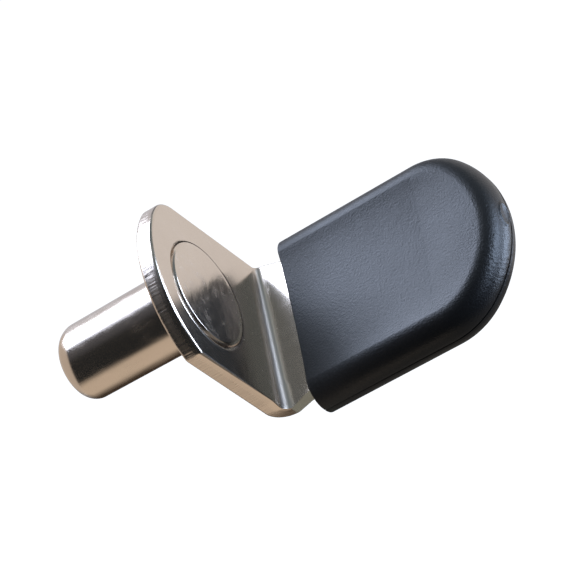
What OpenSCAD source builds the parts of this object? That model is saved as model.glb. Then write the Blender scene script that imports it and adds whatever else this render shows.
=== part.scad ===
// Shelf support pin: a bent steel bracket with a headed pin for the cabinet wall
// and a moulded sleeve on the leg that carries the shelf.
//
// Frame: the origin lies on the pin's axis in the plane of the wall. +X points out
// of the wall, the way the leg reaches, +Z points up and Y runs along the bend.

/* [Sheet] */
// Thickness of the steel sheet
sheet_t = 1.2; // [1:0.1:2]
// Inside radius of the bend between wall plate and leg
bend_r = 0.4; // [0.2:0.1:1.2]

/* [Wall plate] */
// Width of the wall plate, which is also the length of the bend
plate_w = 11.1; // [9.5:0.1:14]
// Height of the plate's rounded end above the pin's axis
plate_rise = 5.5; // [5:0.1:9]
// How far the middle of the rounded end stands above its corners
plate_crown = 2.5; // [2:0.1:4]
// Radius where the rounded end turns into the plate's sides
plate_corner_r = 0.5; // [0.4:0.1:2]

/* [Leg] */
// Depth of the leg's upper face below the pin's axis
leg_drop = 6.8; // [5.5:0.1:10]
// Reach of the leg from the wall to its end
leg_reach = 17.3; // [13:0.1:25]
// Width of the leg inside the sleeve
leg_w = 10.2; // [8:0.1:11]
// Length over which the leg narrows from the bend to its own width
taper_len = 1.6; // [1:0.1:5]
// How far the middle of the leg's rounded end stands out past its corners
leg_crown = 2.9; // [2:0.1:3.8]
// Radius where the leg's end turns into its sides
leg_corner_r = 3; // [1:0.1:3.5]

/* [Pin] */
// Diameter of the pin, for the hole in the cabinet wall
pin_d = 5; // [4:0.1:5.6]
// Length of the pin behind the wall plate
pin_len = 9.2; // [6:0.1:14]
// Rounding of the pin's tip
tip_r = 1.4; // [0.4:0.1:1.8]
// Diameter of the flat head
head_d = 7.2; // [6.4:0.1:8]
// Thickness of the head, which lies flush in the plate's front face
head_t = 0.6; // [0.3:0.1:0.7]
// Bevel round the rim of the head
head_bevel = 0.1; // [0.05:0.05:0.2]
// Diameter of the neck between shank and head, which is riveted through the plate
neck_d = 3.6; // [2.4:0.1:3.8]
// Depth to which riveting sinks the shank's shoulder into the plate's back
shoulder_sink = 0.1; // [0.05:0.05:0.15]

/* [Sleeve] */
// Bare stretch of the leg between the bend and the sleeve's mouth
bare_len = 1.9; // [1:0.1:5]
// Wall of the sleeve round the sides and the end of the leg
side_wall = 1.35; // [0.8:0.05:2.5]
// Wall of the sleeve above and below the leg
flat_wall = 0.95; // [0.6:0.05:2]
// Rounding of all the sleeve's outer edges
edge_r = 1.5; // [0.3:0.1:2]

/* [Fits] */
// Clearance round the pin's head in its counterbore
head_fit = 0.05; // [0.02:0.01:0.15]
// Clearance round the pin's neck and shoulder in the plate
neck_fit = 0.02; // [0.01:0.01:0.1]
// Clearance between the leg and the sleeve
sleeve_fit = 0.05; // [0.02:0.01:0.2]

/* [Hidden] */
$fn = 96;

// The bend, in the XZ plane
bend_x = sheet_t + bend_r;
bend_z = bend_r - leg_drop;
bend_outer_r = bend_r + sheet_t;

// The sleeve is the leg's outline grown all round, with the leg in the middle of its height
sleeve_grow = sleeve_fit + side_wall;
sleeve_x = bend_x + bare_len;
sleeve_h = sheet_t + 2 * (sleeve_fit + flat_wall);
sleeve_z = -leg_drop - sheet_t / 2;
least_flat = 0.1;
sleeve_edge_r = min(edge_r, (sleeve_h - least_flat) / 2);

// Cutters pass through the faces that they open by this much
cut_over = 1;

// Radius of the arc that is crown high over a chord of two half widths
function arc_r(half_w, crown) = (crown * crown + half_w * half_w) / (2 * crown);

// A tab has straight sides, corners of corner_r and an arc of end_r across its end,
// all tangent. This is the place of the corners' centres along the tab.
function corner_x(half_w, reach, end_r, corner_r) =
    reach - end_r + sqrt(pow(end_r - corner_r, 2) - pow(half_w - corner_r, 2));

// Direction, seen from the arc's centre, in which arc and corner meet
function meet_angle(half_w, end_r, corner_r) = asin((half_w - corner_r) / (end_r - corner_r));

// Flat outline of a tab that runs along X from start to reach
module tab_outline(start, half_w, reach, end_r, corner_r) {
    corner_at = corner_x(half_w, reach, end_r, corner_r);
    meet = meet_angle(half_w, end_r, corner_r);
    fan_r = end_r / cos(meet);
    translate([start, -half_w])
        square([corner_at - start, 2 * half_w]);
    for (side = [-1, 1])
        translate([corner_at, side * (half_w - corner_r)])
            circle(corner_r);
    translate([reach - end_r, 0])
        intersection() {
            circle(end_r);
            polygon([
                [0, 0],
                [fan_r * cos(meet), -fan_r * sin(meet)],
                [fan_r, -fan_r * sin(meet)],
                [fan_r, fan_r * sin(meet)],
                [fan_r * cos(meet), fan_r * sin(meet)]
            ]);
        }
}

// Flat outline of the leg from the bend to its end, grown all round by grow
module leg_outline(grow) {
    half_w = leg_w / 2;
    tab_outline(bend_x + taper_len, half_w + grow, leg_reach + grow,
                arc_r(half_w, leg_crown) + grow, leg_corner_r + grow);
    polygon([
        [bend_x, -plate_w / 2 - grow],
        [bend_x + taper_len, -half_w - grow],
        [bend_x + taper_len, half_w + grow],
        [bend_x, plate_w / 2 + grow]
    ]);
}

// Solid of revolution about the X axis, from a profile of [radius, length]
module along_wall_axis() {
    rotate([0, 90, 0])
        rotate_extrude()
            children();
}

// Recess for the shoulder, hole for the neck and counterbore for the head
module pin_seat() {
    rotate([0, 90, 0]) {
        translate([0, 0, -cut_over])
            cylinder(d = pin_d + 2 * neck_fit, h = cut_over + shoulder_sink);
        translate([0, 0, -cut_over])
            cylinder(d = neck_d + 2 * neck_fit, h = sheet_t + 2 * cut_over);
        translate([0, 0, sheet_t - head_t])
            cylinder(d = head_d + 2 * head_fit, h = head_t + cut_over);
    }
}

// Wall plate, bend and leg, pressed from one strip of sheet
module bracket() {
    color([0.78, 0.74, 0.69]) {
        difference() {
            // The tab's X runs up the wall here
            rotate([0, -90, 0])
                mirror([0, 0, 1])
                    linear_extrude(sheet_t)
                        tab_outline(bend_z, plate_w / 2, plate_rise,
                                    arc_r(plate_w / 2, plate_crown), plate_corner_r);
            pin_seat();
        }
        translate([bend_x, plate_w / 2, bend_z])
            rotate([90, 0, 0])
                linear_extrude(plate_w)
                    intersection() {
                        difference() {
                            circle(bend_outer_r);
                            circle(bend_r);
                        }
                        translate([-bend_outer_r, -bend_outer_r])
                            square(bend_outer_r);
                    }
        translate([0, 0, -leg_drop - sheet_t])
            linear_extrude(sheet_t)
                leg_outline(0);
    }
}

// Turned pin: rounded tip, shank with its shoulder in the plate's back, neck and flush head
module pin() {
    shank_r = pin_d / 2;
    head_r = head_d / 2;
    color([0.80, 0.76, 0.71])
        along_wall_axis() {
            square([neck_d / 2, sheet_t - head_t]);
            translate([0, tip_r - pin_len])
                square([shank_r, pin_len - tip_r + shoulder_sink]);
            translate([0, -pin_len])
                square([shank_r - tip_r, tip_r]);
            intersection() {
                translate([shank_r - tip_r, tip_r - pin_len])
                    circle(tip_r);
                translate([shank_r - tip_r, -pin_len])
                    square(tip_r);
            }
            polygon([
                [0, sheet_t - head_t],
                [head_r, sheet_t - head_t],
                [head_r, sheet_t - head_bevel],
                [head_r - head_bevel, sheet_t],
                [0, sheet_t]
            ]);
        }
}

// Half of the sleeve's rounded section, from its middle out to width r
module half_section(r) {
    core_r = r - sleeve_edge_r;
    edge_z = sleeve_h / 2 - sleeve_edge_r;
    translate([0, -sleeve_h / 2])
        square([core_r, sleeve_h]);
    translate([0, -edge_z])
        square([r, 2 * edge_z]);
    for (side = [-1, 1])
        translate([core_r, side * edge_z])
            circle(sleeve_edge_r);
}

// Outer form of the sleeve: the leg's tab with its edges rounded off all round
module sleeve_form() {
    half_w = leg_w / 2 + sleeve_grow;
    reach = leg_reach + sleeve_grow;
    end_r = arc_r(leg_w / 2, leg_crown) + sleeve_grow;
    corner_r = leg_corner_r + sleeve_grow;
    corner_at = corner_x(half_w, reach, end_r, corner_r);
    meet = meet_angle(half_w, end_r, corner_r);
    translate([sleeve_x, 0, 0])
        rotate([90, 0, 90])
            linear_extrude(corner_at - sleeve_x) {
                half_section(half_w);
                mirror([1, 0])
                    half_section(half_w);
            }
    translate([reach - end_r, 0, 0])
        rotate([0, 0, -meet])
            rotate_extrude(angle = 2 * meet)
                half_section(end_r);
    for (side = [-1, 1])
        translate([corner_at, side * (half_w - corner_r), 0])
            rotate_extrude()
                half_section(corner_r);
}

// Moulded sleeve, pushed on the leg from its end
module sleeve() {
    color([0.12, 0.13, 0.15])
        translate([0, 0, sleeve_z])
            difference() {
                sleeve_form();
                translate([0, 0, -sheet_t / 2 - sleeve_fit])
                    linear_extrude(sheet_t + 2 * sleeve_fit)
                        leg_outline(sleeve_fit);
            }
}

bracket();
pin();
sleeve();
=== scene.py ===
from math import asin, atan2, cos, exp, hypot, pi, radians, sin, sqrt, tan
from random import Random

import bmesh
import bpy
from mathutils import Matrix, Vector


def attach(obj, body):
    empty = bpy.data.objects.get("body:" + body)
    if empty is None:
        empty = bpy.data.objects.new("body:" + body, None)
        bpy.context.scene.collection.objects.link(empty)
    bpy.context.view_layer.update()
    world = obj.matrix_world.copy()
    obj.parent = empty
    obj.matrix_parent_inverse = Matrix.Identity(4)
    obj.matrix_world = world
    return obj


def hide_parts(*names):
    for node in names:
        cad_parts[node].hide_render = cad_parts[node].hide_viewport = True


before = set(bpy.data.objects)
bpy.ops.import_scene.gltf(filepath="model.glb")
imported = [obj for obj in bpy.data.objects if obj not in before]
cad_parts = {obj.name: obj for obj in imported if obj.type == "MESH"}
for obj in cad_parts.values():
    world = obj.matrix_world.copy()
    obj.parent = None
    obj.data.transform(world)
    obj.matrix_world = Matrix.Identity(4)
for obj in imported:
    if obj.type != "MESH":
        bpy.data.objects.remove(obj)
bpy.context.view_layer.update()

# ---------------------------------------------------------------- Camera
# It looks down on the front of the wall plate from the -Y side, and is turned about
# its own axis so that the leg points up and to the right.
mm = 0.001
view_azimuth, view_elevation, view_roll = radians(32.303), radians(46.44), radians(-53.63)
camera_distance, camera_lens = 158.493 * mm, 161.19
looked_at = Vector((5.179, -0.335, -2.901)) * mm
camera_back = Vector((sin(view_azimuth) * cos(view_elevation),
                      -cos(view_azimuth) * cos(view_elevation), sin(view_elevation)))
level = Vector((0, 0, 1)).cross(camera_back).normalized()
upright = camera_back.cross(level)
camera_right = cos(view_roll) * level + sin(view_roll) * upright
camera_up = -sin(view_roll) * level + cos(view_roll) * upright


def placed(name, data):
    """A new object with the data, in the scene."""
    made = bpy.data.objects.new(name, data)
    bpy.context.scene.collection.objects.link(made)
    return made


camera = placed("camera", bpy.data.cameras.new("camera"))
bpy.context.scene.camera = camera
camera.data.sensor_width = 36
camera.data.lens = camera_lens
camera.data.clip_start, camera.data.clip_end = 0.005, 20
camera.matrix_world = Matrix.Translation(looked_at + camera_back * camera_distance) @ Matrix(
    (camera_right, camera_up, camera_back)).transposed().to_4x4()
bpy.context.scene.view_settings.view_transform = "Standard"

# ---------------------------------------------------------------- Floor and light
# Two large windows of two panes each light the part. Cards round it show only as reflections:
# a dark room behind the camera, paler walls, and painted shade under the part and beside its leg and
# sleeve. The white floor lies well below, as the part hangs where its wall would hold it.
def node(tree, kind, **values):
    """A new node with its properties and unlinked inputs set."""
    made = tree.nodes.new(kind)
    for name, value in values.items():
        if name in made.inputs:
            made.inputs[name].default_value = value
        else:
            setattr(made, name, value)
    return made


def math(tree, operation, *values):
    """A Math node's output; each value is a number or a socket."""
    made = node(tree, "ShaderNodeMath", operation=operation)
    for socket, value in zip(made.inputs, values):
        if isinstance(value, (int, float)):
            socket.default_value = value
        else:
            tree.links.new(value, socket)
    return made.outputs[0]


def ramp(tree, value, low, high, smooth=True):
    """0 where the value is at low, 1 at high."""
    made = node(tree, "ShaderNodeMapRange",
                interpolation_type="SMOOTHSTEP" if smooth else "LINEAR")
    made.inputs["From Min"].default_value = low
    made.inputs["From Max"].default_value = high
    tree.links.new(value, made.inputs["Value"])
    return made.outputs["Result"]


def mix(tree, factor, one, other):
    """Colour between one and other by factor; each colour is a tuple or a socket."""
    made = node(tree, "ShaderNodeMix", data_type="RGBA")
    for socket, value in ((made.inputs[0], factor), (made.inputs[6], one), (made.inputs[7], other)):
        if isinstance(value, tuple):
            socket.default_value = (*value, 1)
        else:
            tree.links.new(value, socket)
    return made.outputs[2]


def blank(owner):
    """The owner's node tree, emptied."""
    owner.use_nodes = True
    owner.node_tree.nodes.clear()
    return owner.node_tree


def show(tree, shader, output="ShaderNodeOutputMaterial"):
    """Make a shader's socket the surface of the tree's owner."""
    tree.links.new(shader, node(tree, output).inputs["Surface"])


def blend(tree, factor, one, other):
    """Two shaders mixed by factor."""
    mixed = node(tree, "ShaderNodeMixShader")
    for socket, value in zip(mixed.inputs, (factor, one, other)):
        tree.links.new(value, socket)
    return mixed.outputs[0]


def white_seen(tree, strength):
    """A strength of plain white, only where the camera, metal or glass looks."""
    path = node(tree, "ShaderNodeLightPath").outputs
    seen = math(tree, "MAXIMUM", path["Is Camera Ray"], path["Is Glossy Ray"])
    return math(tree, "MULTIPLY", math(tree, "MAXIMUM", seen, path["Is Transmission Ray"]), strength)


ambient, floor_white, floor_glow = 0.32, 0.86, 0.72
floor_z, floor_half = -0.40, 2.0

world = bpy.data.worlds.new("white surround")
bpy.context.scene.world = world
tree = blank(world)
surround = blend(tree, white_seen(tree, 1.0),
                 node(tree, "ShaderNodeBackground", Color=(0.96, 0.98, 1.0, 1), Strength=ambient).outputs[0],
                 node(tree, "ShaderNodeBackground", Color=(1, 1, 1, 1), Strength=1.0).outputs[0])
show(tree, surround, "ShaderNodeOutputWorld")

floor_paint = bpy.data.materials.new("white floor")
tree = blank(floor_paint)
glow = node(tree, "ShaderNodeEmission", Color=(1, 1, 1, 1))
tree.links.new(white_seen(tree, floor_glow), glow.inputs["Strength"])
lit = node(tree, "ShaderNodeAddShader")
tree.links.new(node(tree, "ShaderNodeBsdfDiffuse", Color=(*[floor_white] * 3, 1)).outputs[0], lit.inputs[0])
tree.links.new(glow.outputs[0], lit.inputs[1])
show(tree, lit.outputs[0])
floor_paint.cycles.emission_sampling = "NONE"
floor_mesh = bpy.data.meshes.new("floor")
floor_mesh.from_pydata([(x * floor_half, y * floor_half, floor_z)
                        for x, y in ((-1, -1), (1, -1), (1, 1), (-1, 1))], [], [(0, 1, 2, 3)])
floor_mesh.materials.append(floor_paint)
floor = placed("floor", floor_mesh)


def facing_part(azimuth, elevation, distance, roll=0):
    """Place that looks at the part from azimuth (+X towards +Y) and elevation, in degrees."""
    a, e = radians(azimuth), radians(elevation)
    out = Vector((cos(e) * cos(a), cos(e) * sin(a), sin(e)))
    return (Matrix.Translation(out * distance) @ out.to_track_quat("Z", "Y").to_matrix().to_4x4()
            @ Matrix.Rotation(radians(roll), 4, "Z"))


window_distance = 0.24
# name, azimuth, elevation, width, height, roll, colour, radiance
windows = [("back window left pane", 129.5, 36.5, 0.088, 0.188, -11, (0.83, 0.95, 1.22), 4.2),
           ("back window right pane", 109.5, 33, 0.070, 0.176, -11, (0.83, 0.95, 1.22), 6.8),
           ("side window upper pane", 6, 19, 0.18, 0.098, 0, (0.76, 0.95, 1.28), 8.5),
           ("side window lower pane", 6, -23, 0.18, 0.098, 0, (0.76, 0.95, 1.28), 8.5)]
for name, azimuth, elevation, width, height, roll, colour, radiance in windows:
    lamp = bpy.data.lights.new(name, "AREA")
    lamp.shape, lamp.size, lamp.size_y = "RECTANGLE", width, height
    lamp.energy, lamp.color = radiance * pi * width * height, colour
    window = placed(name, lamp)
    window.matrix_world = facing_part(azimuth, elevation, window_distance, roll)
    window.visible_camera = False


def only_reflected(name, points, faces, paint):
    """A glowing card that lights nothing and shows only as a reflection."""
    mesh = bpy.data.meshes.new(name)
    mesh.from_pydata(points, [], faces)
    mesh.materials.append(paint)
    paint.cycles.emission_sampling = "NONE"
    card = placed(name, mesh)
    card.visible_camera = card.visible_diffuse = card.visible_shadow = False
    return card


# name, azimuth, elevation, angular radius, width of its soft edge, colour; nearest last
cards = [("dark room", -75, 58, 92, 8, (0.024, 0.026, 0.028)),
         ("wall between the windows", 68, 42, 38, 12, (0.175, 0.220, 0.250)),
         ("sheet before the part", 50, -48, 44, 8, (0.88, 0.84, 0.82)),
         ("sheet towards the back window", 124, -22, 34, 10, (0.66, 0.66, 0.71)),
         ("ceiling behind the back window", 160, 64, 15, 14, (0.08, 0.085, 0.10)),
         ("pale wall", 172, 6, 46, 6, (0.68, 0.59, 0.51)),
         ("front edge of the sheet", -114, -40, 40, 7, (0.77, 0.65, 0.53)),
         # painted shade: the part's shadow on the sheet below it, which shows only in reflections
         ("painted shade under the part", 160, -70, 25, 20, (0.050, 0.033, 0.022)),
         ("bar between the side window's panes", 3, 0, 16, 6, (0.42, 0.47, 0.56)),
         ("curtain beside the side window", 37, 17, 14, 7, (0.26, 0.28, 0.26)),
         ("light past the curtain", 80, 52, 5, 5, (0.90, 0.98, 1.00)),
         ("frame of the back window", 95, -4, 9, 9, (0.18, 0.19, 0.22))]
card_distance, card_gap = 0.39, 0.006
rings, sectors = 12, 64
for step, (name, azimuth, elevation, radius, edge, colour) in enumerate(cards):
    reach, distance = radians(radius + edge), card_distance - card_gap * step
    points = [(sin(reach * i / rings) * cos(2 * pi * j / sectors) * distance,
               sin(reach * i / rings) * sin(2 * pi * j / sectors) * distance,
               cos(reach * i / rings) * distance)
              for i in range(1, rings + 1) for j in range(sectors)] + [(0, 0, distance)]
    faces = [(i * sectors + j, i * sectors + (j + 1) % sectors,
              (i + 1) * sectors + (j + 1) % sectors, (i + 1) * sectors + j)
             for i in range(rings - 1) for j in range(sectors)]
    faces += [(j, len(points) - 1, (j + 1) % sectors) for j in range(sectors)]
    paint = bpy.data.materials.new(name)
    tree = blank(paint)
    spot = node(tree, "ShaderNodeSeparateXYZ")
    tree.links.new(node(tree, "ShaderNodeTexCoord").outputs["Object"], spot.inputs[0])
    middle = math(tree, "DIVIDE", spot.outputs["Z"], distance)
    show(tree, blend(tree, ramp(tree, middle, cos(reach), cos(radians(max(radius - edge, 0)))),
                     node(tree, "ShaderNodeBsdfTransparent").outputs[0],
                     node(tree, "ShaderNodeEmission", Color=(*colour, 1), Strength=1.0).outputs[0]))
    card = only_reflected(name, points, faces, paint)
    card.matrix_world = facing_part(azimuth, elevation, 0)

# name, least and greatest X and Y, height, colour: dark cards of painted shade, the part's shadow
# on the sheet beside the leg and the sleeve, which show only in their reflections
painted_shade_cards = [("painted shade below the leg's side", 0.4, 3.0, -9.8, -5.0, -10.4, (0.275, 0.295, 0.265)),
         ("painted shade below the sleeve's side", 3.0, 22.0, -34.0, -3.0, -10.6, (0.20, 0.185, 0.165))]
for name, x0, x1, y0, y1, z, colour in painted_shade_cards:
    paint = bpy.data.materials.new(name)
    tree = blank(paint)
    show(tree, node(tree, "ShaderNodeEmission", Color=(*colour, 1), Strength=1.0).outputs[0])
    corners = [(x * mm, y * mm, z * mm) for x, y in ((x0, y0), (x1, y0), (x1, y1), (x0, y1))]
    painted_shade_card = only_reflected(name, corners, [(0, 1, 2, 3)], paint)

# ---------------------------------------------------------------- Bracket
# One strip of steel sheet, blanked, counterbored for the pin's head, bent once and
# nickel plated. The blank is made flat here and then folded, as the press does it.
sheet_t, bend_r = 1.2, 0.4
facets, plate_steps, fold_cuts = 144, 260, 18
plate_w, plate_rise, plate_crown, plate_corners = 11.1, 5.5, 2.7, (0.5, 2.3)
leg_drop, leg_reach, leg_w, taper_len = 6.8, 17.3, 10.2, 1.6
leg_crown, leg_corners = 2.9, (3.0, 3.0)
die_roll, burr_round = 0.23, 0.12
shear_start, shear_depth, crown_off = 0.42, 0.018, 0.48
bend_bulge, bulge_fade, leg_slant, soft_bend_r = 0.18, 1.1, 0.16, 0.78
bulge_from, bulge_width = 0.55, 0.4
leg_roll, roll_fade = 0.04, 1.2
seat_r, seat_depth = 3.65, 0.6
flare_r, flare_depth, flare_off, flare_steps = 3.93, 0.17, (0.02, -0.09), 10
bead_w, bead_h, bead_steps, bead_middle = 0.13, 0.03, 6, radians(148)
strike_middle, strike_spread = radians(130), 1.35
neck_hole_r, shoulder_hole_r, shoulder_sink = 1.82, 2.52, 0.1

bend_x, bend_z = sheet_t + bend_r, bend_r - leg_drop
fold_len = pi / 2 * (bend_r + sheet_t / 2)
half_plate, half_leg = plate_w / 2, leg_w / 2


def tab_end(half_w, reach, crown, corner_rs, grow=0.0, arc_steps=96, corner_steps=24, off=0.0):
    """Round end of a tab from its -Y to its +Y side: place and outward normal of each point.
    corner_rs are the radii of its two corners; off moves the middle of the end towards +Y."""
    end_r = (crown ** 2 + half_w ** 2) / (2 * crown) + grow
    half_w, reach = half_w + grow, reach + grow
    corners = []
    for side, corner_r in zip((-1, 1), corner_rs):
        corner_r += grow
        across = side * (half_w - corner_r)
        meet = asin((across - off) / (end_r - corner_r))
        corners.append((reach - end_r + (end_r - corner_r) * cos(meet), across, corner_r, meet))
    (x0, y0, r0, meet0), (x1, y1, r1, meet1) = corners
    found = []
    for cx, cy, r, start, stop, steps in (
            (x0, y0, r0, -pi / 2, meet0, corner_steps),
            (reach - end_r, off, end_r, meet0, meet1, arc_steps),
            (x1, y1, r1, meet1, pi / 2, corner_steps)):
        for i in range(steps + 1):
            if i == 0 and found:
                continue
            a = start + (stop - start) * i / steps
            found.append((cx + r * cos(a), cy + r * sin(a), cos(a), sin(a)))
    return found


def ring_of(bm, places):
    """New points at the places, in their order."""
    return [bm.verts.new(p) for p in places]


def join_rings(bm, one, other, closed=True):
    """Quads between two rings with as many points each."""
    n = len(one)
    for i in range(n if closed else n - 1):
        k = (i + 1) % n
        bm.faces.new((one[i], one[k], other[k], other[i]))


def ring_edges(bm, ring):
    """The edges round a ring of points; missing ones are made."""
    return [bm.edges.get((ring[i - 1], ring[i])) or bm.edges.new((ring[i - 1], ring[i]))
            for i in range(len(ring))]


def quarter(radius, steps, turn=1):
    """Quarter round from a face (0 depth, full inset) to a wall (full depth, no inset);
    a turn of -1 runs it from the wall to the face."""
    return [(radius * (1 - sin(pi / 2 * i / steps)), radius * (1 - cos(pi / 2 * i / steps)))
            for i in range(steps + 1)][::turn]


def finished_piece(name, bm, sharp_angle=40):
    """Object in metres from a mesh in millimetres, with smooth shading that stops at sharp edges."""
    bmesh.ops.remove_doubles(bm, verts=bm.verts, dist=1e-5)
    bmesh.ops.recalc_face_normals(bm, faces=bm.faces)
    for face in bm.faces:
        face.smooth = True
    for edge in bm.edges:
        edge.smooth = edge.is_manifold and edge.calc_face_angle(0) < radians(sharp_angle)
    bmesh.ops.scale(bm, vec=(mm, mm, mm), verts=bm.verts)
    mesh = bpy.data.meshes.new(name)
    bm.to_mesh(mesh)
    bm.free()
    piece = placed(name, mesh)
    even = piece.modifiers.new("flat faces stay flat", "WEIGHTED_NORMAL")
    even.keep_sharp, even.weight = True, 100
    bpy.context.view_layer.update()
    settled = bpy.data.meshes.new_from_object(
        piece.evaluated_get(bpy.context.evaluated_depsgraph_get()))
    piece.modifiers.clear()
    piece.data = settled
    settled.name = name
    return piece


def folded(u, y, depth):
    """Place on the bent bracket of a point of the flat blank: u from the fold, depth from its inner face.
    On the -Y side folding spreads the sheet at its inner face, and the leg's edge is cut aslant."""
    near = max(1 - max(-u, u - fold_len, 0) / bulge_fade, 0)
    near *= near * (3 - 2 * near)
    at_side = min(max((-y / half_plate - bulge_from) / bulge_width, 0), 1) ** 2
    on_leg = min(max(u / fold_len, 0), 1)
    inner = 1 - depth / sheet_t
    # The inner face bends more softly towards the -Y side
    r = bend_r + (soft_bend_r - bend_r) * (half_plate - y) / plate_w
    y += at_side * (leg_slant * on_leg * depth / sheet_t - bend_bulge * inner * near)
    angle = min(max(u / fold_len, 0), 1) * pi / 2
    x = bend_x - (bend_r + depth) * cos(angle) + max(u - fold_len, 0)
    z = bend_z - (bend_r + depth) * sin(angle) + max(-u, 0)
    from_leg, from_plate = r - x - depth + sheet_t, r - z - depth - leg_drop
    if min(from_leg, from_plate) > 0:
        push = inner * (from_leg + from_plate - sqrt(max(2 * r * r - (from_leg - from_plate) ** 2, 0))) / 2
        x, z = x + max(push, 0), z + max(push, 0)
    return x, y, z


slant = atan2(half_plate - half_leg, taper_len) / 2
leg_u = fold_len - bend_x
outline = [(bend_z - z, y, -nz, ny)
           for z, y, nz, ny in tab_end(half_plate, plate_rise, plate_crown, plate_corners,
                                       arc_steps=plate_steps, off=crown_off)]
outline += [(fold_len, half_plate, sin(slant), cos(slant)),
            (fold_len + taper_len, half_leg, sin(slant), cos(slant))]
outline += [(x + leg_u, y, nx, ny)
            for x, y, nx, ny in reversed(tab_end(half_leg, leg_reach, leg_crown, leg_corners))]
outline += [(fold_len + taper_len, -half_leg, sin(slant), -cos(slant)),
            (fold_len, -half_plate, sin(slant), -cos(slant))]

bm = bmesh.new()
torn_layer = bm.verts.layers.float.new("torn")
# The cut edge: rolled over, then smooth, then torn in fine grooves across the thickness.
# inset, depth, how torn
rim = [(inset, depth, 0) for inset, depth in quarter(die_roll, 10)]
rim += [(0, shear_start - 0.04, 0.15), (0, shear_start + 0.05, 0.7), (0, 0.75, 1), (0, 1.05, 0.8)]
rim += [(inset, sheet_t - depth, 0.3) for inset, depth in quarter(burr_round, 4, -1)]
torn = Random(12)
grooves = [torn.random() ** 2 for _ in outline]
grooves = [(grooves[i - 1] + 2 * g) / 3 for i, g in enumerate(grooves)]
rim_rings = []
for inset, depth, torn_share in rim:
    places = []
    for (u, y, nu, ny), groove in zip(outline, grooves):
        # Along the -Y side of the leg the roll is slight
        rolled = max(leg_roll, 1 - u / roll_fade) if u > 0 > y and inset and depth < die_roll else 1
        cut = inset * rolled + torn_share * shear_depth * groove
        places.append((u - nu * cut, y - ny * cut, -depth * rolled if inset else -depth))
    rim_rings.append(ring_of(bm, places))
    for v in rim_rings[-1]:
        v[torn_layer] = torn_share
for one, other in zip(rim_rings, rim_rings[1:]):
    join_rings(bm, one, other)


def struck(angle, least=0.05):
    """How hard the riveting punch struck at an angle from +Y towards +Z: 1 round its middle."""
    return least + (1 - least) * min(strike_spread * (1 + cos(angle - strike_middle)) / 2, 1) ** 3


# Riveting leaves a low bead round the counterbore and a flare inside it, both a little off centre.
# radius, depth, share of the way off centre
seat = [(flare_r + bead_w * (1 - share), -bead_h * sin(pi / 2 * share) ** 2, 1)
        for share in (i / bead_steps for i in range(bead_steps))]
seat += [(seat_r + (flare_r - seat_r) * (1 - share), -bead_h + (flare_depth + bead_h) * share ** 2, 1 - share)
         for share in (i / flare_steps for i in range(flare_steps + 1))]
seat += [(seat_r, seat_depth, 0), (neck_hole_r, seat_depth, 0),
         (neck_hole_r, sheet_t - shoulder_sink, 0), (shoulder_hole_r, sheet_t - shoulder_sink, 0),
         (shoulder_hole_r, sheet_t, 0)]
seat_rings = []
for r, depth, off in seat:
    places = []
    for i in range(facets):
        a = 2 * pi * i / facets
        share = struck(a) if depth > 0 else max(2 * cos(a - bead_middle) - 1, 0)
        places.append((bend_z - off * flare_off[0] - r * sin(a), off * flare_off[1] + r * cos(a),
                       -depth * share if depth < flare_depth + 0.01 else -depth))
    seat_rings.append(ring_of(bm, places))
for one, other in zip(seat_rings, seat_rings[1:]):
    join_rings(bm, one, other)
for outer, inner in ((rim_rings[0], seat_rings[0]), (rim_rings[-1], seat_rings[-1])):
    bmesh.ops.triangle_fill(bm, use_beauty=True, edges=ring_edges(bm, outer) + ring_edges(bm, inner))
# Cuts across the blank let its faces follow the fold and the bulge beside it
cuts_beside = int(bulge_fade / fold_len * fold_cuts) + 1
for i in range(-cuts_beside, fold_cuts + cuts_beside + 1):
    bmesh.ops.bisect_plane(bm, geom=bm.verts[:] + bm.edges[:] + bm.faces[:], dist=1e-6,
                           plane_co=(fold_len * i / fold_cuts, 0, 0), plane_no=(1, 0, 0))
for v in bm.verts:
    v.co = folded(v.co.x, v.co.y, -v.co.z)
bracket = finished_piece("plated_bracket", bm)


nickel_deep, nickel_pale, nickel_rough = (0.575, 0.500, 0.430), (0.625, 0.550, 0.480), 0.19


def noise(tree, place, per_mm, detail=2, rough=0.5, stretch=(1, 1, 1), turn=(0, 0, 0)):
    """Noise of 0 to 1 on a piece's own coordinates; per_mm is its fineness along each stretch."""
    fit = node(tree, "ShaderNodeMapping")
    fit.inputs["Scale"].default_value = stretch
    fit.inputs["Rotation"].default_value = turn
    tree.links.new(place, fit.inputs["Vector"])
    made = node(tree, "ShaderNodeTexNoise", Scale=per_mm / mm, Detail=detail, Roughness=rough)
    tree.links.new(fit.outputs[0], made.inputs["Vector"])
    return made.outputs["Fac"]


def bumped(tree, shader, height, distance, strength=1.0):
    """Add a height in millimetres to the shader's relief; reliefs given earlier stay."""
    relief = node(tree, "ShaderNodeBump", Distance=distance * mm, Strength=strength)
    tree.links.new(height, relief.inputs["Height"])
    if shader.inputs["Normal"].links:
        tree.links.new(shader.inputs["Normal"].links[0].from_socket, relief.inputs["Normal"])
    tree.links.new(relief.outputs[0], shader.inputs["Normal"])


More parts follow.
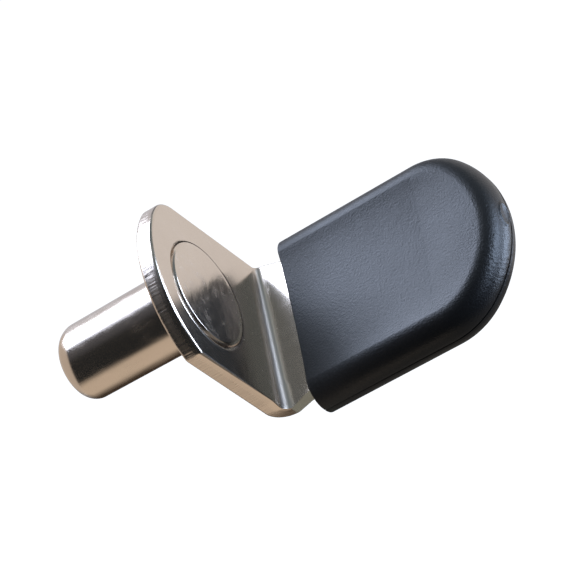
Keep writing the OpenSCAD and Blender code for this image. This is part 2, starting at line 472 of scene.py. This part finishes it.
def strained(tree, shader, place, bend):
    """How much duller the plating is inside a bend and on the torn part of the cut edge,
    which is grooved as well; bend is the bend's centre (X, Z) and inner radius."""
    axes = node(tree, "ShaderNodeSeparateXYZ")
    tree.links.new(place, axes.inputs[0])
    off_x, off_z = (math(tree, "SUBTRACT", axes.outputs[way], at * mm) for way, at in zip("XZ", bend))
    from_bend = math(tree, "SQRT", math(tree, "ADD", math(tree, "MULTIPLY", off_x, off_x),
                                        math(tree, "MULTIPLY", off_z, off_z)))
    in_bend = ramp(tree, from_bend, (bend[2] + 0.07) * mm, bend[2] * mm)
    torn = node(tree, "ShaderNodeAttribute", attribute_name="torn").outputs["Fac"]
    grooved = math(tree, "MULTIPLY", torn, noise(tree, place, 1, 3, 0.6, (0.5, 7, 7)))
    bumped(tree, shader, grooved, 0.02)
    return math(tree, "ADD", math(tree, "MULTIPLY", in_bend, 0.14), math(tree, "MULTIPLY", grooved, 0.22))


def bright_nickel(name, across, waves, mottle, bend=None):
    """Nickel plating: fine drawn lines along one way, pits and specks, dull patches, a slight swell.
    across is how much finer the lines are along X, Y and Z; waves is the swell's height;
    mottle is how dull the patches are; bend is that of sheet, where it is strained."""
    material = bpy.data.materials.new(name)
    tree = blank(material)
    shader = node(tree, "ShaderNodeBsdfPrincipled", Metallic=1.0)
    place = node(tree, "ShaderNodeTexCoord").outputs["Object"]
    lines = ramp(tree, noise(tree, place, 1, 3, 0.6, across), 0.60, 0.80)
    specks = ramp(tree, noise(tree, place, 4, 2, 0.5), 0.73, 0.80)
    cloud = noise(tree, place, 0.35, 3, 0.6)
    tree.links.new(mix(tree, cloud, nickel_deep, nickel_pale), shader.inputs["Base Color"])
    patches = ramp(tree, noise(tree, place, 1.3, 3, 0.55, (0.35, 1, 1)), 0.42, 0.78)
    dull = math(tree, "MAXIMUM", math(tree, "MULTIPLY", lines, 0.07), math(tree, "MULTIPLY", specks, 0.14))
    dull = math(tree, "ADD", dull, math(tree, "MULTIPLY", patches, mottle))
    if bend:
        dull = math(tree, "ADD", dull, strained(tree, shader, place, bend))
    tree.links.new(math(tree, "ADD", dull, nickel_rough), shader.inputs["Roughness"])
    bumped(tree, shader, noise(tree, place, 0.8, 2, 0.5), waves)
    bumped(tree, shader, lines, 0.0006)
    bumped(tree, shader, specks, 0.002)
    show(tree, shader.outputs[0])
    return material


nickel = bright_nickel("nickel on sheet", (0.6, 0.35, 5), 0.004, 0.03, (bend_x, bend_z, bend_r))
bracket.data.materials.append(nickel)
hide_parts("bracket")
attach(bracket, "root")

# ---------------------------------------------------------------- Pin
# Turned from steel wire and nickel plated. Its neck is riveted through the plate, which
# leaves the head flush in the counterbore and the shoulder in the plate's back.
pin_r, pin_len, tip_r = 2.5, 9.2, 1.4
head_r, head_t, neck_r = 3.6, 0.6, 1.8
face_r, rim_round, rim_slope, rim_steps = 3.29, 0.09, radians(60), 8
thicker, thick_end = 0.024, -0.3
tip_uneven, tip_slack, tip_proud = 0.28, radians(219), 0.04
weld = 0.001


def turning_tree():
    """Geometry nodes that turn a line of points (X, radius) about X and weld the seam and both ends."""
    tree = bpy.data.node_groups.new("turned about X", "GeometryNodeTree")
    for name, kind in (("Profile", "Geometry"), ("Facets", "Int"), ("Weld", "Float"),
                       ("Plating", "Material")):
        tree.interface.new_socket(name, in_out="INPUT", socket_type="NodeSocket" + kind)
    tree.interface.new_socket("Turned", in_out="OUTPUT", socket_type="NodeSocketGeometry")
    given = node(tree, "NodeGroupInput").outputs
    size = node(tree, "GeometryNodeAttributeDomainSize")
    tree.links.new(given["Profile"], size.inputs[0])
    grid = node(tree, "GeometryNodeMeshGrid")
    tree.links.new(math(tree, "ADD", given["Facets"], 1), grid.inputs["Vertices X"])
    tree.links.new(size.outputs["Point Count"], grid.inputs["Vertices Y"])
    share = node(tree, "ShaderNodeSeparateXYZ")
    tree.links.new(grid.outputs["UV Map"], share.inputs[0])
    angle = math(tree, "MULTIPLY", share.outputs["X"], 2 * pi)
    last = math(tree, "SUBTRACT", size.outputs["Point Count"], 1)
    picked = node(tree, "GeometryNodeSampleIndex", data_type="FLOAT_VECTOR", domain="POINT")
    tree.links.new(given["Profile"], picked.inputs["Geometry"])
    tree.links.new(node(tree, "GeometryNodeInputPosition").outputs[0], picked.inputs["Value"])
    row = math(tree, "ROUND", math(tree, "MULTIPLY", share.outputs["Y"], last))
    tree.links.new(row, picked.inputs["Index"])
    point = node(tree, "ShaderNodeSeparateXYZ")
    tree.links.new(picked.outputs["Value"], point.inputs[0])
    place = node(tree, "ShaderNodeCombineXYZ")
    tree.links.new(point.outputs["X"], place.inputs["X"])
    for axis, part in (("Y", "COSINE"), ("Z", "SINE")):
        off_axis = math(tree, "MULTIPLY", point.outputs["Y"], math(tree, part, angle))
        tree.links.new(off_axis, place.inputs[axis])
    moved, welded = node(tree, "GeometryNodeSetPosition"), node(tree, "GeometryNodeMergeByDistance")
    real, paint = node(tree, "GeometryNodeRealizeInstances"), node(tree, "GeometryNodeSetMaterial")
    tree.links.new(place.outputs[0], moved.inputs["Position"])
    tree.links.new(given["Weld"], welded.inputs["Distance"])
    tree.links.new(given["Plating"], paint.inputs["Material"])
    flow = grid.outputs["Mesh"]
    for step in (moved, welded, real, paint, node(tree, "NodeGroupOutput")):
        tree.links.new(flow, step.inputs[0])
        flow = step.outputs[0] if step.outputs else None
    return tree


def turned(profile, plating):
    """bmesh of the solid that (radius, x) points, which start and end on the axis, turn to."""
    line = bpy.data.meshes.new("profile")
    line.from_pydata([(x, r, 0) for r, x in profile], [(i, i + 1) for i in range(len(profile) - 1)], [])
    blank_piece = placed("turned blank", line)
    modifier = blank_piece.modifiers.new("turned", "NODES")
    modifier.node_group = turning_tree()
    values = {"Facets": facets, "Weld": weld, "Plating": plating}
    for socket in modifier.node_group.interface.items_tree:
        if socket.in_out == "INPUT" and socket.name in values:
            modifier[socket.identifier] = values[socket.name]
    bpy.context.view_layer.update()
    solid = bpy.data.meshes.new_from_object(
        blank_piece.evaluated_get(bpy.context.evaluated_depsgraph_get()))
    blank_piece.modifiers.clear()
    bpy.data.objects.remove(blank_piece)
    bm = bmesh.new()
    bm.from_mesh(solid)
    return bm


profile = [(0, -pin_len)]
profile += [(pin_r - inset, depth - pin_len) for inset, depth in quarter(tip_r, 24)]
profile += [(pin_r, thick_end), (pin_r, shoulder_sink), (neck_r, shoulder_sink),
            (neck_r, sheet_t - head_t), (head_r, sheet_t - head_t)]
rim_w, rim_drop = rim_round * sin(rim_slope), rim_round * (1 - cos(rim_slope))
profile += [(head_r, sheet_t - rim_drop - (head_r - face_r - rim_w) * tan(rim_slope))]
profile += [(face_r + rim_round * sin(a), sheet_t - rim_round * (1 - cos(a)))
            for a in (rim_slope * i / rim_steps for i in range(rim_steps, -1, -1))]
profile += [(0, sheet_t)]
turned_nickel = bright_nickel("nickel on turned steel", (0.4, 7, 7), 0.004, 0.12)
bm = turned(profile, turned_nickel)
for v in bm.verts:
    drop, angle = sheet_t - v.co.x, atan2(v.co.z, v.co.y)
    # The bevel round the head is as deep as the punch struck
    if 0 < drop < head_t - 0.01:
        v.co.x = sheet_t - drop * struck(angle, least=0.03)
    # The shank is a little thicker near the plate, and its tip is rounded unevenly
    depth, wider = v.co.x + pin_len, 1
    if depth < tip_r + 0.01:
        inset = min(pin_r - hypot(v.co.y, v.co.z), tip_r)
        uneven = 1 - tip_uneven * (1 + cos(angle - tip_slack)) / 2
        v.co.x = depth * uneven - pin_len - tip_proud
        wider = (pin_r - inset * uneven) / (pin_r - inset)
    elif v.co.x < 0:
        wider = 1 + thicker * depth / pin_len
    v.co.y, v.co.z = v.co.y * wider, v.co.z * wider
pin = finished_piece("plated_pin", bm)
# The struck face of the head is a little wavy
tree = turned_nickel.node_tree
shader = next(n for n in tree.nodes if n.type == "BSDF_PRINCIPLED")
place = node(tree, "ShaderNodeTexCoord").outputs["Object"]
axes = node(tree, "ShaderNodeSeparateXYZ")
tree.links.new(place, axes.inputs[0])
on_head = ramp(tree, axes.outputs["X"], 0.9 * mm, 1.15 * mm)
ripple = noise(tree, place, 1.3, 2, 0.5, (0, 0.42, 1), (radians(-20), 0, 0))
bumped(tree, shader, math(tree, "MULTIPLY", ripple, on_head), 0.020)
pin.data.materials.append(turned_nickel)
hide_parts("pin")
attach(pin, "root")

# ---------------------------------------------------------------- Sleeve
# Moulded in one piece from black plastic with a fine matte grain, and pushed on the leg.
bare_len, sleeve_fit, side_wall, flat_wall = 1.9, 0.05, 1.35, 0.95
edge_r, edge_steps, lip_r, lip_steps = 1.5, 44, 0.12, 5
tip_off, tip_corners, tip_steps = 0.16, (3.3, 2.9), 320

mouth_x = bend_x + bare_len
mid_z = -leg_drop - sheet_t / 2
half_h = sheet_t / 2 + sleeve_fit + flat_wall
grow = sleeve_fit + side_wall
half_w = half_leg + grow

parting_h, parting_w, parting_depth, parting_least = -0.10, 0.10, 0.07, 0.2
parting_from, parting_full = 7, 16
sag, sag_fade, sag_round, sag_cuts = 0.20, 5.0, 0.65, 24
loose, swell, narrowing, narrow_from, narrow_to = -0.07, 0.05, -0.15, 16, 3
gate_y, gate_h, gate_r = -0.22, 0.42, (0.95, 0.44)
gate_ring, ring_at, ring_w, gate_dimple, dimple_r = 0.055, 0.85, 0.14, 0.06, 0.7


def settled_y(x, y):
    """The sleeve's -Y side sits a little outwards, and its +Y side too, but inwards at the mouth."""
    share = (y + half_w) / (2 * half_w)
    toward_mouth = min(max((narrow_from - x) / (narrow_from - narrow_to), 0), 1)
    return y + loose * (1 - share) + (swell + narrowing * toward_mouth) * share


def gate_mark(x, y, h):
    """Height of the ring left at the tip, where the plastic was fed in and broken off."""
    e = hypot((y - gate_y) / gate_r[0], (h - gate_h) / gate_r[1])
    if x < leg_reach or e > 2:
        return 0
    return gate_ring * exp(-((e - ring_at) / ring_w) ** 2) - gate_dimple * max(0, 1 - (e / dimple_r) ** 2)


# The section of the edge, with the parting line's groove in it, follows the outline from the
# -Y side of the mouth round the tip to the +Y side
u_line = [(mouth_x + lip_r, -half_w, 0.0, -1.0)]
u_line += tab_end(half_leg, leg_reach, leg_crown, tip_corners, grow, tip_steps, off=tip_off)
u_line += [(mouth_x + lip_r, half_w, 0.0, 1.0)]
section = [(inset, half_h - depth, cos(a), sin(a)) for (inset, depth), a in
           zip(quarter(edge_r, edge_steps), [pi / 2 * (1 - i / edge_steps) for i in range(edge_steps + 1)])]
lower = [(inset, -h, out, -up) for inset, h, out, up in reversed(section)]
groove = [(parting_depth * deep, parting_h + parting_w * high, 1.0, 0.0)
          for deep, high in ((0, 1.6), (0.15, 1.0), (1, 0.4), (1, -0.4), (0.15, -1.0), (0, -1.6))]
groove_at = range(len(section), len(section) + len(groove))
section += groove + lower

bm = bmesh.new()
columns = []
for x, y, nx, ny in u_line:
    places = []
    open_by = min(max((x - parting_from) / (parting_full - parting_from), parting_least), 1)
    for k, (inset, h, out, up) in enumerate(section):
        lift = gate_mark(x - inset, y, h)
        out_by = lift * out - inset * (open_by if k in groove_at else 1)
        places.append((x + nx * out_by, settled_y(x, y + ny * out_by), mid_z + h + lift * up))
    columns.append(ring_of(bm, places))
for one, other in zip(columns, columns[1:]):
    join_rings(bm, one, other, closed=False)

# The broad faces have sunk a little in the middle, as they cooled over the slot
half_count = len(columns) // 2
tip_x = columns[half_count][0].co.x
for j, side in ((0, 1), (-1, -1)):
    rungs = []
    for one, other in zip(columns[:half_count], columns[::-1]):
        start, stop = one[j], other[j]
        rung = [start]
        for i in range(1, sag_cuts):
            q = 2 * i / sag_cuts - 1
            x = start.co.x + (stop.co.x - start.co.x) * i / sag_cuts
            fade = min(1, (tip_x - x) / sag_fade)
            dip = sag * (1 - sag_round * q * q - (1 - sag_round) * q ** 8) * fade * fade * (3 - 2 * fade)
            rung.append(bm.verts.new((x, start.co.y + (stop.co.y - start.co.y) * i / sag_cuts,
                                      start.co.z - side * dip)))
        rungs.append(rung + [stop])
    for one, other in zip(rungs, rungs[1:]):
        join_rings(bm, one, other, closed=False)
    bm.faces.new(rungs[-1] + ([columns[half_count][j]] if len(columns) % 2 else []))
    if side == 1:
        top_mouth = rungs[0]
    else:
        bottom_mouth = rungs[0]

# The mouth: its lip is rounded, and the slot for the leg is cut square
facing = [(v, -out, up) for v, (_, _, out, up) in zip(columns[0], section)]
facing += [(v, 0, -1) for v in bottom_mouth[1:-1]]
facing += [(v, out, up) for v, (_, _, out, up) in zip(columns[-1][::-1], section[::-1])]
facing += [(v, 0, 1) for v in top_mouth[-2:0:-1]]
loop = [v for v, _, _ in facing]
for k in range(1, lip_steps + 1):
    back = lip_r * sin(pi / 2 * k / lip_steps)
    pull = lip_r * (1 - cos(pi / 2 * k / lip_steps))
    ring = ring_of(bm, [(mouth_x + lip_r - back, v.co.y - out * pull, v.co.z - up * pull)
                        for v, out, up in facing])
    join_rings(bm, loop, ring)
    loop = ring
slot_line = [(mouth_x, -half_leg - sleeve_fit)]
slot_line += [(x, y) for x, y, _, _ in
              tab_end(half_leg, leg_reach, leg_crown, leg_corners, sleeve_fit, arc_steps=24, corner_steps=8)]
slot_line += [(mouth_x, half_leg + sleeve_fit)]
slot_h = sheet_t / 2 + sleeve_fit
top, bottom = (ring_of(bm, [(x, y, mid_z + h) for x, y in slot_line]) for h in (slot_h, -slot_h))
join_rings(bm, top, bottom, closed=False)
bm.faces.new(top)
bm.faces.new(bottom)
slot_mouth = [bm.edges.get((top[0], bottom[0])), bm.edges.get((top[-1], bottom[-1])),
              bm.edges.get((top[0], top[-1])), bm.edges.get((bottom[0], bottom[-1]))]
bmesh.ops.triangle_fill(bm, use_beauty=True, edges=ring_edges(bm, loop) + slot_mouth)
sleeve = finished_piece("moulded_sleeve", bm)

plastic_deep, plastic_pale = (0.0036, 0.0038, 0.0046), (0.0052, 0.0054, 0.0062)
plastic_rough, plastic_gloss = 0.31, 0.46


def grained_plastic():
    """Black plastic. Its grain is finer along the middle, and coarser along the +Y side and at
    the mouth, most of all at its -Y corner. The tip is scuffed at its -Y corner."""
    material = bpy.data.materials.new("black grained plastic")
    tree = blank(material)
    shader = node(tree, "ShaderNodeBsdfPrincipled")
    shader.inputs["Specular IOR Level"].default_value = plastic_gloss
    place = node(tree, "ShaderNodeTexCoord").outputs["Object"]
    cloud = noise(tree, place, 0.5, 3, 0.6)
    grain = noise(tree, place, 7, 3, 0.65)
    tree.links.new(mix(tree, cloud, plastic_deep, plastic_pale), shader.inputs["Base Color"])
    axes = node(tree, "ShaderNodeSeparateXYZ")
    tree.links.new(place, axes.inputs[0])
    along_x, along_y = axes.outputs["X"], axes.outputs["Y"]
    middle = ramp(tree, along_x, 15 * mm, 8 * mm)
    mouth = ramp(tree, along_x, 7.5 * mm, 4 * mm)
    mouth_corner = math(tree, "MULTIPLY", ramp(tree, along_x, 13 * mm, 4 * mm),
                        ramp(tree, along_y, 1.5 * mm, -4 * mm))
    far_side = ramp(tree, along_y, 0.5 * mm, 4.5 * mm)
    rough = math(tree, "ADD", math(tree, "MULTIPLY", cloud, 0.06), plastic_rough)
    for where, more in ((middle, -0.04), (mouth, 0.10), (mouth_corner, 0.20), (far_side, 0.07)):
        rough = math(tree, "ADD", rough, math(tree, "MULTIPLY", where, more))
    tree.links.new(rough, shader.inputs["Roughness"])
    tip_corner = math(tree, "MULTIPLY", ramp(tree, along_y, -0.5 * mm, -3.5 * mm),
                      ramp(tree, along_x, 16 * mm, 17.5 * mm))
    bumped(tree, shader, cloud, 0.012)
    bumped(tree, shader, math(tree, "MULTIPLY", noise(tree, place, 4.5, 2, 0.5), tip_corner), 0.034)
    bumped(tree, shader, grain, 0.022)
    show(tree, shader.outputs[0])
    return material


sleeve.data.materials.append(grained_plastic())
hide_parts("sleeve")
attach(sleeve, "root")
